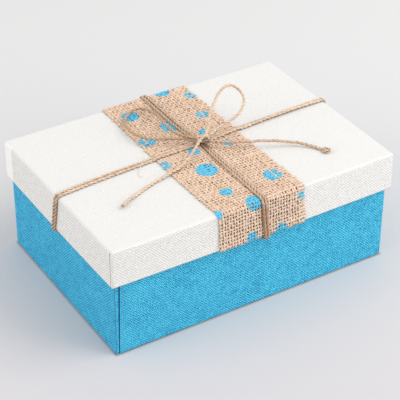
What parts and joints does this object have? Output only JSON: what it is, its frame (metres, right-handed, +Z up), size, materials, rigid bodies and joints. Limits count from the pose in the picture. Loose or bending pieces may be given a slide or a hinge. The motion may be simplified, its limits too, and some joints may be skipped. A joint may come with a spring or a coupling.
{
  "type": "gift box",
  "caption": "Rectangular two-piece gift box with a lift-off lid, linen paper covering, a wide hessian ribbon and doubled twine tied in a bow.",
  "frame": {"origin": "middle of the underside, on the surface that the box stands on", "axes": "+X along the box's length to the right, +Y across it to the back, +Z up"},
  "size_m": [0.234, 0.166, 0.112],
  "materials": {
    "greyboard": "matt grey board",
    "corner_tape": "matt gummed paper",
    "blue_linen_paper": "matt linen-embossed paper, mottled sky blue",
    "white_linen_paper": "matt linen-embossed paper, off-white",
    "liner_paper": "smooth matt white paper",
    "hessian": "plain-woven natural jute with blue printed dots",
    "jute_twine": "two-ply natural jute twine"
  },
  "bodies": {
    "base": {"base_board": "greyboard", "base_corner_stays": "corner_tape", "base_wrap": "blue_linen_paper", "base_bottom_sheet": "blue_linen_paper", "base_liner": "liner_paper"},
    "lid": {"lid_board": "greyboard", "lid_corner_stays": "corner_tape", "lid_wrap": "white_linen_paper", "lid_liner": "liner_paper", "burlap_ribbon": "hessian", "twine_long_back": "jute_twine", "twine_long_front": "jute_twine", "twine_cross_left": "jute_twine", "twine_cross_right": "jute_twine", "bow_knot": "jute_twine", "bow_loop_left": "jute_twine", "bow_loop_right": "jute_twine", "bow_tail_left": "jute_twine", "bow_tail_right": "jute_twine", "tail_end_knot": "jute_twine"}
  },
  "joints": [
    {"name": "lid_lift", "type": "slide", "parent": "base", "child": "lid", "axis": [0, 0, 1], "range_m": [0, 0.06]}
  ]
}
